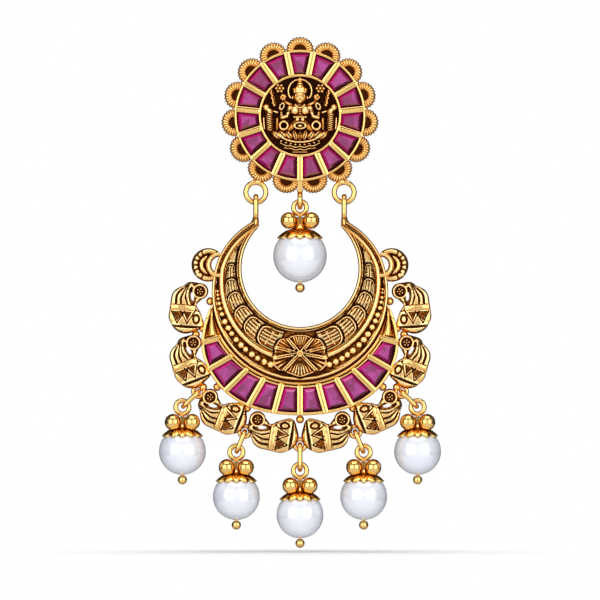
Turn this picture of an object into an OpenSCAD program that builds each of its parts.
// Chandbali earring: a round stud, a crescent that swings below it and a pearl inside the crescent.
// Millimetres. X runs across the front, +Y points back to the ear, +Z is up.
// The origin is the point where the stud rests on the ear, at the root of its post.

/* [Stud] */
// Radius of the round well that holds the figure plaque
well_r = 5.0; // [4.6:0.1:5.6]
// Width of the thin rim round the well
well_rim_w = 0.3; // [0.2:0.05:0.5]
// Radial length of a stone in the ring
ring_stone_l = 2.7; // [2.3:0.1:3.2]
// Width of the outer rim of the stone ring
ring_rim_w = 0.32; // [0.2:0.02:0.5]
// Number of stones, bars and scallops in the ring
ring_count = 15; // [13:1:17]
// Width of a bar between two stones
bar_w = 0.7; // [0.4:0.05:0.9]
// Radius of the wire of a scallop
scallop_wire_r = 0.58; // [0.45:0.01:0.62]
// Height of a scallop's middle above the edge of the stud
scallop_rise = 0.02; // [0:0.01:0.15]
// Thickness of the web that closes a scallop from behind
web_t = 0.5; // [0.45:0.05:0.6]
// Radius of the flat pad that rests on the ear
pad_r = 3.2; // [2.5:0.1:4.5]
// Thickness of the ear pad
pad_t = 0.4; // [0.3:0.05:0.7]
// Thickness of the stud's back plate
plate_t = 0.7; // [0.5:0.05:1]
// Height of the stud's rims above the back plate
collet_h = 1.6; // [1.4:0.1:2]
// Height of the bars above the rims
bar_rise = 0.12; // [0.05:0.01:0.25]
// Thickness of the plaque behind its figures
plaque_t = 0.5; // [0.3:0.05:0.7]
// Height of the figures above the plaque
relief_h = 1.3; // [0.9:0.1:1.6]

/* [Post] */
// Diameter of the ear post
post_d = 0.9; // [0.7:0.05:1.1]
// Length of the ear post
post_l = 10.5; // [9:0.5:13]

/* [Hanging] */
// Distance of the hanging rings in front of the ear
hang_f = 1.3; // [1.1:0.05:1.6]
// Height of the swing axis of the crescent below the stud's middle
swing_z = 11.1; // [10.9:0.05:11.6]
// Distance of each hanging ring from the middle
eye_x = 5.66; // [5.4:0.02:5.9]
// Radius of the two rings under the stud
eye_r = 1.28; // [1.1:0.02:1.5]
// Radius of the wire of these rings
eye_wire_r = 0.33; // [0.28:0.01:0.36]
// Radius of the round end of a horn loop
loop_r = 0.75; // [0.72:0.01:0.9]
// Radius of the wire of a loop
loop_wire_r = 0.33; // [0.26:0.01:0.35]
// Straight length of a horn loop
loop_l = 1.3; // [1.1:0.05:1.5]
// Straight length of the middle loop
middle_loop_l = 0.2; // [0.1:0.05:0.4]
// Radius of the granule that carries the middle loop
stub_r = 0.38; // [0.34:0.01:0.41]
// Distance of this granule's middle below the stud's edge
stub_drop = 1.2; // [1.2:0.01:1.4]
// Width of the tongue that carries this granule
stub_w = 0.6; // [0.5:0.05:0.7]

/* [Crescent] */
// Radius of the crescent's open middle
hole_r = 7.5; // [7:0.1:7.9]
// Height of the middle of the opening below the stud's middle
hole_z = 19.58; // [19.2:0.05:19.9]
// Angle of each horn's end from straight up
horn_a = 45; // [40:1:52]
// Radius of the crescent's outer edge
moon_r = 11.3; // [11:0.05:11.7]
// Drop of the outer edge's middle below the opening's middle
moon_drop = 3.02; // [2.8:0.02:3.2]
// How much smaller the middle rim's circle is than the outer edge's
mid_rim_step = 0.9; // [0.7:0.05:1.1]
// Drop of the middle rim's middle below the opening's middle
mid_rim_drop = 1.72; // [1.6:0.02:1.9]
// Width of the polished inner rim
inner_rim_w = 0.6; // [0.4:0.05:0.8]
// Width of the middle rim
mid_rim_w = 0.6; // [0.4:0.05:0.8]
// Width of the outer rim
outer_rim_w = 0.42; // [0.3:0.02:0.6]
// Distance of the crescent's back in front of the ear plane
back_f = 0.2; // [0:0.05:0.4]
// Thickness of the crescent's plate
moon_t = 1.6; // [1.2:0.1:2]
// Height of the crescent's rims above its plate
moon_rim_h = 1.1; // [0.8:0.05:1.4]
// Height of the tiles above the plate
tile_h = 1.15; // [0.8:0.05:1.5]
// Number of tiles on each side
tile_count = 6; // [5:1:7]
// Largest radius of a granule in the channel
granule_r = 0.42; // [0.3:0.01:0.5]
// Number of granules on each side
granule_count = 15; // [10:1:18]
// Radius of the flower at the bottom of the crescent
flower_r = 2.9; // [2.5:0.1:3.1]
// Height of the flower above the plate
flower_h = 1.45; // [1:0.05:1.7]

/* [Stone row] */
// Width of the row at the bottom, with its border and rim
row_w = 4.5; // [4.3:0.05:4.8]
// Drop of the row's middle below the crescent's middle
row_drop = 3.1; // [3:0.02:3.3]
// Swell of the row's outer edge at its lower corners
row_swell = 1.0; // [0.8:0.05:1.2]
// Narrowing of the row's outer edge at its tips
row_tip_drop = 1.24; // [1:0.02:1.4]
// Number of stones in the row
row_count = 10; // [8:2:10]
// Angle from one stone of the row to the next
row_pitch = 15; // [13:0.5:15]
// Width of the border between crescent and stones
row_border_w = 1.05; // [0.9:0.05:1.3]
// Width of the row's outer rim
row_rim_w = 0.42; // [0.3:0.02:0.6]
// Thickness of the row's plate
row_t = 1.3; // [1:0.1:1.6]
// Height of the row's rims above its plate
row_rim_h = 1.25; // [1.2:0.05:1.6]

/* [Stones] */
// Clearance between a stone and its setting
stone_gap = 0.05; // [0.03:0.01:0.1]
// Height of a cut stone
stone_h = 1.25; // [1:0.05:1.4]
// Width of a step of the cut, from one facet to the next
stone_step = 0.2; // [0.12:0.01:0.28]

/* [Border birds] */
// Length of a bird motif
bird_l = 6.8; // [6.5:0.1:7.1]
// Thickness of a bird's plate
bird_t = 1.5; // [1:0.1:2]
// Height of a bird's lip and knob above its plate
bird_h = 1.2; // [0.8:0.05:1.6]
// Width of one wing rib
rib_w = 0.26; // [0.18:0.02:0.32]
// Number of wing ribs
rib_count = 5; // [4:1:6]
// Radius of the small hook motif
hook_r = 2.15; // [2.05:0.05:2.3]
// Radius of a solder granule between two motifs
solder_r = 0.55; // [0.5:0.01:0.65]

/* [Pearl drops] */
// Radius of a fringe pearl
pearl_r = 3.0; // [2.7:0.05:3.2]
// Radius of the centre pearl
centre_pearl_r = 3.43; // [3.2:0.01:3.45]
// Radius of the head pin's wire
pin_r = 0.15; // [0.12:0.01:0.2]
// Clearance round a pin and between beads
bead_gap = 0.04; // [0.03:0.01:0.08]
// Radius of a granule over a fringe pearl
cluster_r = 1.04; // [0.9:0.02:1.1]
// Distance of these granules from the pin, across and along
cluster_x = 1.22; // [1.15:0.01:1.35]
// Height of these granules' middle above the pearl
cluster_lift = 0.75; // [0.65:0.05:0.9]
// Radius of a granule over the centre pearl
centre_cluster_r = 1.05; // [0.9:0.02:1.15]
// Distance of these granules from the pin, across and along
centre_cluster_x = 1.45; // [1.4:0.01:1.5]
// Height of these granules' middle above the centre pearl
centre_cluster_lift = 1.1; // [1:0.05:1.3]
// Radius of the petal cap on a fringe pearl
cap_r = 2.25; // [2:0.05:2.4]
// Radius of the petal cap on the centre pearl
centre_cap_r = 2.5; // [2.3:0.05:2.6]
// Thickness of a cap at its edge
cap_wall = 0.14; // [0.1:0.01:0.2]
// Height of a cap's top above its pearl
cap_rise = 0.25; // [0.2:0.05:0.5]
// Radius of the ball under a fringe pearl
ball_r = 0.6; // [0.5:0.02:0.7]
// Radius of the ball under the centre pearl
centre_ball_r = 0.62; // [0.5:0.02:0.65]
// Radius of a fringe drop's ring
drop_ring_r = 0.86; // [0.8:0.02:1]
// Radius of the centre drop's ring
centre_ring_r = 0.83; // [0.8:0.02:0.9]
// Radius of the wire of these rings
drop_wire_r = 0.31; // [0.26:0.01:0.33]
// Height of a fringe ring's middle above its granules
ring_lift = 1.9; // [1.8:0.05:2.1]
// Height of the centre ring's middle above its granules
centre_ring_lift = 1.62; // [1.6:0.02:1.75]
// Radius of an eyelet on the border
eyelet_r = 0.7; // [0.68:0.01:0.8]
// Radius of the wire of an eyelet
eyelet_wire_r = 0.28; // [0.22:0.01:0.3]
// Radius of the round end of a jump link
link_r = 0.7; // [0.68:0.01:0.8]
// Radius of the wire of a jump link
link_wire_r = 0.31; // [0.26:0.01:0.33]
// Straight length of a jump link
link_l = 1.35; // [1.2:0.05:1.5]

/* [Hidden] */
GOLD = "goldenrod";
RUBY = "mediumvioletred";
PEARL = "ghostwhite";

// Sides of round things: exact solids, meshed beads, links, wire, cast lumps and the crescent's edges
EXACT = 48;
BEAD = 10;
LINK = 14;
WIRE = 5;
LUMP = 8;
BLOB = 12;
EDGE = 56;
EDGE_STEP = 5;

// How far soldered metal sinks into its neighbour, and how far a rim stands in from its plate's edge
sink = 0.12;
ledge = 0.03;

// Stud: radii and heights
ring_in = well_r + well_rim_w;
ring_out = ring_in + ring_stone_l + 2 * stone_gap;
stud_r = ring_out + ring_rim_w;
ring_pitch = 360 / ring_count;
plate_f = pad_t + plate_t;
collet_f = plate_f + collet_h;
scallop_r = stud_r * sin(ring_pitch / 2) - scallop_wire_r - stone_gap / 2;
eye_z = -swing_z + eye_r;

// Middle loop and centre drop, from the stud's edge down
stub_z = -stud_r - stub_drop;
stub_grip = 0.31;
middle_loop_top = stub_z - stub_r + stub_grip - loop_wire_r - loop_r;
centre_axis_z = middle_loop_top - middle_loop_l;
centre_ring_z = centre_axis_z - centre_ring_r;
centre_pearl_z = centre_ring_z - centre_ring_lift - centre_cluster_lift - centre_pearl_r;

// Crescent: middles of its circles, all on the middle line
hole_c = [0, -hole_z];
moon_c = hole_c - [0, moon_drop];
mid_c = hole_c - [0, mid_rim_drop];
mid_rim_r = moon_r - mid_rim_step;
row_c = moon_c - [0, row_drop];
row_r = moon_r - row_drop + row_w;
plate_top = back_f + moon_t;
row_top = back_f + row_t;
flower_c = moon_c - [0, moon_r - flower_r - 0.35];
tile_a0 = 25.6;
tile_step = 12.4;

// Tips of the stone row and where they start to narrow, as angles from straight down
row_tip_a = 97.5;
row_spear_a = 80;
row_taper_a = 68;
row_taper_span = 28.5;

// Birds of the left side: angle from straight down, distance outside the row as a share of bird_l, turn
BIRDS = [
    [13.3, 0.372, -9],
    [38.9, 0.356, -21],
    [67.5, 0.290, -69],
    [94.6, 0.416, -94],
];

// Fringe drops of the left side and the middle: angle of the eyelet from straight down, its distance
// outside the row as a share of bird_l, lean of the link from straight down, length as a share of link_l
FRINGE = [
    [53.4, 0.365, 46, 1.00],
    [25.6, 0.463, 22, 1.00],
    [0, 0.551, 0, 1.33],
];

// Solder granules of the left side: angle from straight down, then the distance outside the row as a share
// of solder_r for those on its edge and as a share of bird_l for those between two birds
SOLDER = [
    [0, 0.88, 0],
    [30, 0.44, 0],
    [36.8, 0, 0.30],
    [49.5, 0.44, 0],
    [53.8, 0, 0.25],
    [80.2, 0, 0.12],
    [99.5, 0.75, 0],
    [83, 0.06, 0],
];

function polar(c, r, a) = c + r * [sin(a), -cos(a)];

// Outer edge of the stone row, and distance to the crescent's edge, both from the row's middle
function row_edge(a) = let (b = abs(a))
    row_r + row_swell * pow(sin(1.8 * b), 2)
    - row_tip_drop * pow(max(0, b - row_taper_a) / row_taper_span, 1.6);
function circle_reach(from, c, r, a) = let (d = from[1] - c[1])
    d * cos(a) + sqrt(r * r - pow(d * sin(a), 2));
function moon_edge(a) = circle_reach(row_c, moon_c, moon_r, a);
function row_inner(a) = moon_edge(a) + row_border_w;
function outside_row(a, share) = polar(row_c, row_edge(a) + share * bird_l, a);

// Corners of a stone between two bars, counter-clockwise; ra and rb give the inner and outer radius
function stone_corner(c, a, half, side, r) =
    polar(c, r, a + side * (half - asin((bar_w / 2 + stone_gap) / r)));
function stone_quad(c, a, half, ra, rb) = [
    stone_corner(c, a, half, -1, ra(a - half)),
    stone_corner(c, a, half, -1, rb(a - half)),
    stone_corner(c, a, half, 1, rb(a + half)),
    stone_corner(c, a, half, 1, ra(a + half)),
];

// A convex outline moved inwards by d
function inward(p, q) = let (e = (q - p) / norm(q - p)) [-e[1], e[0]];
function meet(n, h, m, k) = [h * m[1] - k * n[1], n[0] * k - m[0] * h] / (n[0] * m[1] - n[1] * m[0]);
function inset(quad, d) = [for (i = [0:3])
    let (
        before = quad[(i + 3) % 4],
        here = quad[i],
        after = quad[(i + 1) % 4],
        n = inward(before, here),
        m = inward(here, after)
    )
    meet(n, here * n + d, m, here * m + d)];

// Places of the fringe drops: eyelet, then the middle of the drop's ring
function mirror_x(p, side) = [p[0] * side, p[1]];
function fringe_row(i) = FRINGE[min(i, 4 - i)];
function fringe_side(i) = i > 2 ? -1 : 1;
function eyelet_at(i) = let (f = fringe_row(i))
    mirror_x(outside_row(-f[0], f[1]), fringe_side(i));
function link_lean(i) = -fringe_row(i)[2] * fringe_side(i);
function link_length(i) = link_l * fringe_row(i)[3];
function drop_ring_at(i) =
    polar(eyelet_at(i), eyelet_r + link_length(i) + drop_ring_r, link_lean(i));

function two_digits(i) = str(i < 10 ? "0" : "", i);

// Everything is drawn face up, then stood up so that its front looks along -Y
module stood() {
    rotate([90, 0, 0]) children();
}

module at(p, f = 0) {
    translate([p[0], p[1], f]) children();
}

module torus(r, wire, sides = EXACT, wire_sides = EXACT, turn = 360) {
    rotate_extrude(angle = turn, $fn = sides) translate([r, 0]) circle(wire, $fn = wire_sides);
}

// A long link: its lower end is centred on the origin and it runs up along Y
module oval_link(r, wire, length, sides = EXACT, wire_sides = EXACT) {
    translate([0, length, 0]) torus(r, wire, sides, wire_sides, 180);
    rotate([0, 0, 180]) torus(r, wire, sides, wire_sides, 180);
    for (x = [-r, r])
        translate([x, 0, 0]) rotate([-90, 0, 0]) cylinder(length, wire, wire, $fn = wire_sides);
}

module ring_band(inner, outer, from_f, to_f) {
    translate([0, 0, from_f]) linear_extrude(to_f - from_f) difference() {
        circle(outer, $fn = EXACT);
        circle(inner, $fn = EXACT);
    }
}

// A step-cut stone over a four-sided outline: pavilion, girdle, two crown steps and a table
module cut_stone(outline, base_f) {
    levels = [[0, 2 * stone_step], [0.45, 0], [0.62, 0], [0.84, stone_step], [1, 2.2 * stone_step]];
    top = len(levels) - 1;
    color(RUBY) stood() polyhedron(
        [for (level = levels, p = inset(outline, level[1])) [p[0], p[1], base_f + level[0] * stone_h]],
        concat(
            [[0, 1, 2, 3]],
            [for (k = [0:top - 1], i = [0:3]) let (j = (i + 1) % 4)
                [4 * k + i, 4 * k + 4 + i, 4 * k + 4 + j, 4 * k + j]],
            [[for (i = [3:-1:0]) 4 * top + i]]
        ));
}

// Stud
module scallop_ring() {
    for (i = [0:ring_count - 1])
        rotate([0, 0, i * ring_pitch]) translate([0, stud_r + scallop_rise, hang_f]) {
            torus(scallop_r, scallop_wire_r, turn = 180);
            for (x = [-scallop_r, scallop_r])
                translate([x, 0, 0]) rotate([90, 0, 0])
                    cylinder(scallop_rise + ring_rim_w, scallop_wire_r, scallop_wire_r, $fn = EXACT);
            translate([0, 0, pad_t + ledge - hang_f])
                cylinder(web_t, scallop_r - ledge, scallop_r - ledge, $fn = EXACT);
        }
}

module stud_collet() {
    cylinder(pad_t, pad_r, pad_r, $fn = EXACT);
    translate([0, 0, pad_t]) cylinder(plate_t, stud_r, stud_r, $fn = EXACT);
    ring_band(well_r, ring_in, plate_f - sink, collet_f);
    ring_band(ring_out, stud_r - ledge, plate_f - sink, collet_f);
    for (i = [0:ring_count - 1])
        rotate([0, 0, (i + 0.5) * ring_pitch])
            translate([-bar_w / 2, well_r + well_rim_w / 2, plate_f - sink])
                cube([bar_w, stud_r - well_r - (well_rim_w + ring_rim_w) / 2, collet_h + bar_rise + sink]);
}

module stud_hangers() {
    for (x = [-eye_x, eye_x]) at([x, eye_z], hang_f) torus(eye_r, eye_wire_r);
    tongue_f = 2 * scallop_wire_r + sink;
    tongue_l = stub_drop;
    translate([-stub_w / 2, stub_z + sink, hang_f - tongue_f / 2]) cube([stub_w, tongue_l, tongue_f]);
    at([0, stub_z], hang_f) rotate([0, 90, 0]) sphere(stub_r, $fn = EXACT);
    at([0, centre_axis_z], hang_f) rotate([0, 90, 0])
        oval_link(loop_r, loop_wire_r, middle_loop_l);
}

module medallion_frame() {
    color(GOLD) stood() {
        stud_collet();
        scallop_ring();
        stud_hangers();
    }
}

module ear_post() {
    color(GOLD) translate([0, bead_gap, 0]) rotate([-90, 0, 0])
        cylinder(post_l, post_d / 2, post_d / 2, $fn = EXACT);
}

module ring_ruby(i) {
    inner = function (a) ring_in + stone_gap;
    outer = function (a) ring_out - stone_gap;
    cut_stone(stone_quad([0, 0], 180 - i * ring_pitch, ring_pitch / 2, inner, outer),
        plate_f + stone_gap);
}

// A rounded lump of the cast relief, and a tapered limb between two of them
module lump(p, r, f) {
    at(p, f) sphere(r, $fn = LUMP);
}

module limb(p, q, rp, rq, f, g) {
    hull() {
        lump(p, rp, f);
        lump(q, rq, g);
    }
}

// The seated figure, drawn on a well of radius 5 and scaled to the real one
module seated_figure(f) {
    limb([0, 2.15], [0, 2.9], 0.62, 0.74, f + 0.55, f + 0.5);
    limb([0, 3.45], [0, 4.9], 0.85, 0.16, f + 0.3, f + 0.2);
    at([0, 3.05], f + 0.1) torus(1.55, 0.2, LINK, WIRE);
    limb([-0.5, 0.75], [0.5, 0.75], 0.8, 0.8, f + 0.3, f + 0.3);
    limb([0, 0.5], [0, -0.9], 0.75, 0.7, f + 0.2, f + 0.3);
    limb([-1.3, -1.4], [1.3, -1.4], 0.55, 0.55, f + 0.45, f + 0.45);
    for (s = [-1, 1]) {
        limb([s * 1.05, 1.0], [s * 1.75, -0.2], 0.42, 0.33, f + 0.2, f + 0.3);
        limb([s * 1.75, -0.2], [s * 2.4, 0.45], 0.33, 0.3, f + 0.3, f + 0.4);
        limb([s * 1.2, 1.2], [s * 2.05, 2.25], 0.3, 0.42, f + 0.1, f + 0.2);
        at([s * 2.05, -1.28], f + 0.25) torus(0.5, 0.22, LINK, WIRE);
    }
}

module elephant(s, f) {
    limb([s * 3.85, 0.3], [s * 3.75, -1.5], 0.55, 0.5, f + 0.15, f + 0.1);
    lump([s * 3.95, 1.25], 0.68, f + 0.35);
    limb([s * 3.2, 1.4], [s * 3.35, 3.0], 0.28, 0.24, f + 0.4, f + 0.35);
    limb([s * 3.3, 3.0], [s * 2.5, 3.5], 0.26, 0.6, f + 0.3, f + 0.15);
}

module lotus_seat(f) {
    for (x = [-3:1:3])
        limb([x * 0.95, -2.9 + abs(x) * 0.22], [x * 1.08, -2.25 + abs(x) * 0.12],
            0.42, 0.3, f + 0.3, f + 0.35);
    limb([-2.0, -3.65], [2.0, -3.65], 0.4, 0.4, f + 0.1, f + 0.1);
    limb([-1.3, -4.2], [1.3, -4.2], 0.36, 0.36, f, f);
}

module figure_plaque() {
    base_f = plate_f + stone_gap;
    field_f = base_f + plaque_t;
    plaque_r = well_r - 2 * stone_gap;
    relief_r = plaque_r - stone_gap;
    color(GOLD) stood() {
        translate([0, 0, base_f]) cylinder(plaque_t, plaque_r, plaque_r, $fn = 40);
        intersection() {
            translate([0, 0, base_f]) cylinder(plaque_t + relief_h, relief_r, relief_r, $fn = 40);
            translate([0, 0, field_f]) scale([well_r / 5, well_r / 5, relief_h / 1.3]) {
                seated_figure(0);
                for (s = [-1, 1]) elephant(s, 0);
                lotus_seat(0);
            }
        }
    }
}

// Crescent
module moon_shape(in = 0) {
    difference() {
        translate(moon_c) circle(moon_r - in, $fn = EDGE);
        translate(hole_c) circle(hole_r + in, $fn = EDGE);
        polygon([
            hole_c,
            polar(hole_c, 3 * moon_r, 180 - horn_a - 10 * in),
            polar(hole_c, 3 * moon_r, 180 + horn_a + 10 * in),
        ]);
    }
}

module band_between(c_in, r_in, c_out, r_out, in = ledge) {
    intersection() {
        moon_shape(in);
        difference() {
            translate(c_out) circle(r_out, $fn = EDGE);
            translate(c_in) circle(r_in, $fn = EDGE);
        }
    }
}

module moon_plate() {
    translate([0, 0, back_f]) linear_extrude(moon_t) moon_shape();
    translate([0, 0, plate_top - sink]) {
        linear_extrude(moon_rim_h + sink)
            band_between(hole_c, hole_r - 1, hole_c, hole_r + inner_rim_w);
        linear_extrude(moon_rim_h * 0.85 + sink)
            band_between(mid_c, mid_rim_r - mid_rim_w, mid_c, mid_rim_r, 3 * ledge);
        linear_extrude(moon_rim_h * 0.75 + sink)
            band_between(moon_c, moon_r - outer_rim_w, moon_c, moon_r + 1, 2 * ledge);
    }
}

// Overlapping round tiles that shrink towards the horns, and a leaf that runs to each tip
tile_in = hole_r + inner_rim_w;
function tile_out(a) = circle_reach(hole_c, mid_c, mid_rim_r - mid_rim_w, a);

module tiles() {
    for (s = [-1, 1]) {
        for (k = [0:tile_count - 1]) {
            a = tile_a0 + k * tile_step;
            r = (tile_out(a) - tile_in) / 2;
            at(polar(hole_c, tile_in + r, s * a), plate_top - sink)
                cylinder(tile_h + sink, r, r * 0.7, $fn = BLOB);
        }
        hull() for (a = [104, 116, 128])
            at(polar(hole_c, (tile_in + tile_out(a)) / 2, s * a), plate_top - sink)
                cylinder(tile_h * 0.8 + sink, 0.32, 0.14, $fn = LUMP);
    }
}

module granules() {
    for (s = [-1, 1], k = [0:granule_count - 1]) {
        a = 24 + k * 66 / (granule_count - 1);
        inner = circle_reach(moon_c, mid_c, mid_rim_r, a);
        outer = moon_r - outer_rim_w;
        r = min(granule_r, (outer - inner) * 0.48);
        at(polar(moon_c, (inner + outer) / 2, s * a), plate_top - sink)
            cylinder(r * 1.5 + sink, r, r * 0.5, $fn = BEAD);
    }
}

module flower() {
    at(flower_c, plate_top - sink) {
        cylinder(flower_h * 0.72 + sink, flower_r, flower_r * 0.86, $fn = 18);
        for (k = [0:7]) rotate([0, 0, 22.5 + 45 * k]) hull() {
            cylinder(flower_h + sink, 0.4, 0.3, $fn = 6);
            translate([flower_r * 0.8, 0, 0])
                cylinder(flower_h * 0.85 + sink, flower_r * 0.3, flower_r * 0.2, $fn = LUMP);
        }
        cylinder(flower_h * 1.1 + sink, 0.6, 0.4, $fn = BEAD);
    }
    for (s = [-1, 1], y = [-1, 1])
        at(flower_c + [s * flower_r * 0.82, y * flower_r * 0.35], plate_top - sink)
            cylinder(flower_h * 0.7 + sink, flower_r * 0.45, flower_r * 0.35, $fn = BEAD);
}

// A bridge from each horn's end up to its loop, and the loop itself
module horn_loops() {
    for (s = [-1, 1]) {
        hull() {
            for (d = [0.35, 1.05])
                at(polar(hole_c, hole_r + d, 180 - s * (horn_a + 1)), back_f + 0.3)
                    cylinder(moon_t - 0.1, 0.35, 0.35, $fn = BEAD);
            at([s * eye_x, -swing_z - loop_l - loop_r], hang_f) sphere(loop_wire_r + 0.1, $fn = BEAD);
        }
        at([s * eye_x, -swing_z - loop_l], hang_f) rotate([0, 90, 0])
            oval_link(loop_r, loop_wire_r, loop_l, LINK, WIRE);
    }
}

// Stone row
module row_shape(inner_edge, rim, tip = row_tip_a) {
    polygon(concat(
        [for (a = [-tip:EDGE_STEP:tip + 0.1]) polar(row_c, row_edge(a) - rim, a)],
        [for (a = [tip:-EDGE_STEP:-tip - 0.1])
            polar(row_c, min(row_edge(a) - rim - ledge, moon_edge(a) + inner_edge), a)]
    ));
}

module row_setting() {
    translate([0, 0, back_f]) linear_extrude(row_t) row_shape(-0.5, 0);
    translate([0, 0, row_top - sink]) {
        linear_extrude(row_rim_h + sink) difference() {
            row_shape(-0.4, ledge, row_tip_a - 2.5);
            row_shape(-1, row_rim_w);
        }
        linear_extrude(row_rim_h * 0.8 + sink) difference() {
            row_shape(row_border_w * 0.35, row_rim_w / 2, row_spear_a);
            row_shape(row_border_w - stone_gap, -1);
        }
    }
    for (k = [-row_count / 2:row_count / 2]) {
        a = k * row_pitch;
        start = row_inner(a) - row_border_w * 0.4;
        length = row_edge(a) - row_rim_w / 2 - start;
        at(row_c, row_top - sink) rotate([0, 0, a]) translate([-bar_w / 2, -start - length, 0])
            cube([bar_w, length, row_rim_h + bar_rise + sink]);
    }
}

// Spear-shaped plates that close the row at its tips, each with a ridge along its middle
function row_point(a, share) =
    polar(row_c, moon_edge(a) + share * (row_edge(a) - moon_edge(a)), a);

module spear_shape(share) {
    start = (row_count / 2) * row_pitch + 1;
    step = (row_tip_a - 3 - start) / 4;
    polygon(concat(
        [for (k = [0:4]) row_point(start + k * step, 1 - share)],
        [for (k = [4:-1:0]) row_point(start + k * step, share)]
    ));
}

module row_spears() {
    for (s = [0, 1], ridge = [0, 1])
        mirror([s, 0, 0]) translate([0, 0, row_top - sink])
            linear_extrude(row_rim_h * (0.5 + 0.35 * ridge) + sink)
                spear_shape(0.08 + 0.22 * ridge);
}

// A bird with its lip at +X, its knob at the upper left and its wing below, drawn 6.8 long
module bird_outline() {
    difference() {
        union() {
            hull() {
                translate([-1, -0.6]) circle(1.6, $fn = BLOB);
                translate([1.2, -0.95]) circle(1.4, $fn = BLOB);
                translate([-2.2, 0.3]) circle(0.95, $fn = BLOB);
            }
            hull() {
                translate([1.4, -0.15]) circle(2.0, $fn = 16);
                translate([1.95, 1.3]) circle(0.9, $fn = BLOB);
            }
            hull() {
                translate([-2.15, 1.45]) circle(1.05, $fn = BLOB);
                translate([-2.3, 0.3]) circle(1.0, $fn = BLOB);
            }
            hull() {
                translate([-1.75, 1.5]) circle(0.6, $fn = BEAD);
                translate([-0.6, 0.55]) circle(0.5, $fn = BEAD);
            }
        }
        translate([-1.45, 0.55]) scale([0.55, 0.24]) circle(1, $fn = BEAD);
    }
}

module bird() {
    scale([bird_l / 6.8, bird_l / 6.8, 1]) {
        linear_extrude(bird_t) bird_outline();
        translate([0, 0, bird_t - sink]) {
            difference() {
                translate([1.4, -0.15, 0]) cylinder(bird_h + sink, 1.95, 1.5, $fn = 16);
                translate([-3, -3, -1]) cube([5.1, 6, 4]);
            }
            translate([-2.15, 1.45, 0]) cylinder(bird_h * 0.85 + sink, 0.95, 0.6, $fn = BEAD);
            translate([0, -2.1, 0]) cube([0.42, 3, bird_h * 0.7 + sink]);
            for (k = [0:rib_count - 1]) {
                y = -0.1 - k * 2.1 / rib_count;
                left = -2.85 + pow(k / rib_count, 2) * 1.9;
                translate([left, y - rib_w / 2, 0]) cube([0.05 - left, rib_w, bird_h * 0.55 + sink]);
            }
            for (y = [-1.2, 0])
                translate([1.25, y, 0]) cylinder(bird_h * 0.5 + sink, 0.45, 0.3, $fn = WIRE);
        }
    }
}

// The ribbed hook between the bird and the horn, an outward crescent
module hook() {
    c = polar(moon_c, moon_r + hook_r * 0.45, -106.5);
    for (s = [0, 1]) mirror([s, 0, 0]) {
        translate([0, 0, back_f + 0.2]) linear_extrude(bird_t - 0.2 + bird_h * 0.5) hook_outline(c, hook_r);
        translate([0, 0, back_f + 0.2]) linear_extrude(bird_t - 0.2 + bird_h) hook_outline(c, hook_r * 0.8);
    }
}

module hook_outline(c, r) {
    difference() {
        translate(c) circle(r, $fn = 18);
        translate(c + [hook_r * 0.66, 0]) circle(hook_r * 0.48, $fn = 14);
    }
}

module border() {
    for (s = [0, 1]) mirror([s, 0, 0]) {
        for (b = BIRDS)
            at(outside_row(-b[0], b[1]), back_f) rotate([0, 0, b[2]]) bird();
        for (g = SOLDER)
            at(outside_row(-g[0], g[2] + g[1] * solder_r / bird_l), back_f + 0.2)
                cylinder(bird_t + bird_h * 0.4, solder_r, solder_r * 0.6, $fn = LUMP);
    }
}

module eyelets() {
    for (i = [0:4]) at(eyelet_at(i), hang_f) torus(eyelet_r, eyelet_wire_r, LINK, WIRE);
}

module crescent_frame() {
    color(GOLD) stood() {
        moon_plate();
        tiles();
        granules();
        flower();
        horn_loops();
        row_setting();
        row_spears();
        difference() {
            union() {
                border();
                hook();
            }
            for (i = [0:4])
                at(eyelet_at(i), back_f - 1) cylinder(moon_t + 6, eyelet_r, eyelet_r, $fn = LINK);
        }
        eyelets();
    }
}

module row_ruby(i) {
    inner = function (a) row_inner(a) + stone_gap;
    outer = function (a) row_edge(a) - row_rim_w - stone_gap;
    a = (i - (row_count + 1) / 2) * row_pitch;
    cut_stone(stone_quad(row_c, a, row_pitch / 2, inner, outer), row_top + stone_gap);
}

// Pearl drops: each is drawn with its pearl's middle at the origin and its pin along +Y
module pearl(r) {
    color(PEARL) difference() {
        sphere(r, $fn = EXACT);
        rotate([-90, 0, 0]) translate([0, 0, -r - 1])
            cylinder(2 * r + 2, pin_r + bead_gap, pin_r + bead_gap, $fn = EXACT);
    }
}

module head_pin(r, ball, ring_z, ring) {
    color(GOLD) {
        translate([0, -r - ball - bead_gap, 0]) sphere(ball, $fn = EXACT);
        translate([0, ring_z, 0]) torus(ring, drop_wire_r);
        translate([0, -r - ball, 0]) rotate([-90, 0, 0])
            cylinder(r + ball + ring_z - ring, pin_r, pin_r, $fn = EXACT);
    }
}

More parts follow.
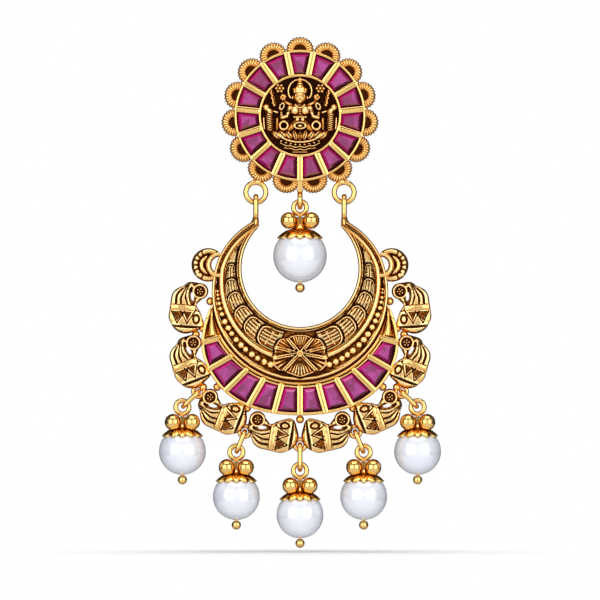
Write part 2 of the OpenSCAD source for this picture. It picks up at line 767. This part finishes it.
module bead_cap(r, edge, cluster, x, lift, ring_bottom) {
    seat = r + bead_gap;
    edge_z = sqrt(pow(seat, 2) - pow(edge - cap_wall, 2));
    top_z = r + cap_rise;
    color(GOLD) difference() {
        union() {
            translate([0, edge_z, 0]) rotate([-90, 0, 0])
                cylinder(top_z - edge_z, edge, x + cluster / 4, $fn = EXACT);
            for (turn = [45:90:315])
                rotate([0, turn, 0]) translate([x * sqrt(2), r + lift, 0]) sphere(cluster, $fn = EXACT);
            translate([0, top_z - sink, 0]) rotate([-90, 0, 0])
                cylinder(ring_bottom - bead_gap - top_z + sink, x * sqrt(2) - cluster + 0.45,
                    x * sqrt(2) - cluster + 0.45, $fn = EXACT);
        }
        sphere(seat, $fn = EXACT);
        rotate([-90, 0, 0]) cylinder(3 * r, pin_r + bead_gap, pin_r + bead_gap, $fn = EXACT);
    }
}

// The middle of the pearl of a fringe drop
function pearl_at(i) = drop_ring_at(i) - [0, pearl_r + cluster_lift + ring_lift];

module fringe_place(i) {
    stood() at(pearl_at(i), hang_f) children();
}

module jump_link(i) {
    color(GOLD) stood() at(polar(eyelet_at(i), eyelet_r + link_length(i), link_lean(i)), hang_f)
        rotate([0, 0, link_lean(i)]) rotate([0, 90, 0])
            oval_link(link_r, link_wire_r, link_length(i));
}

module fringe_pin(i) {
    fringe_place(i) head_pin(pearl_r, ball_r, pearl_r + cluster_lift + ring_lift, drop_ring_r);
}

module fringe_cap(i) {
    fringe_place(i) bead_cap(pearl_r, cap_r, cluster_r, cluster_x, cluster_lift,
        pearl_r + cluster_lift + ring_lift - drop_ring_r - drop_wire_r);
}

module fringe_pearl(i) {
    fringe_place(i) pearl(pearl_r);
}

module centre_place() {
    stood() at([0, centre_pearl_z], hang_f) children();
}

module centre_pin() {
    centre_place() head_pin(centre_pearl_r, centre_ball_r,
        centre_pearl_r + centre_cluster_lift + centre_ring_lift, centre_ring_r);
}

module centre_cap() {
    centre_place() bead_cap(centre_pearl_r, centre_cap_r, centre_cluster_r, centre_cluster_x,
        centre_cluster_lift,
        centre_pearl_r + centre_cluster_lift + centre_ring_lift - centre_ring_r - drop_wire_r);
}

module centre_pearl() {
    centre_place() pearl(centre_pearl_r);
}

medallion_frame();
figure_plaque();
ear_post();
for (i = [1:ring_count])
    ring_ruby(i - 1);
crescent_frame();
for (i = [1:row_count])
    row_ruby(i);
for (i = [1:5]) {
    jump_link(i - 1);
    fringe_pin(i - 1);
    fringe_cap(i - 1);
    fringe_pearl(i - 1);
}
centre_pin();
centre_cap();
centre_pearl();
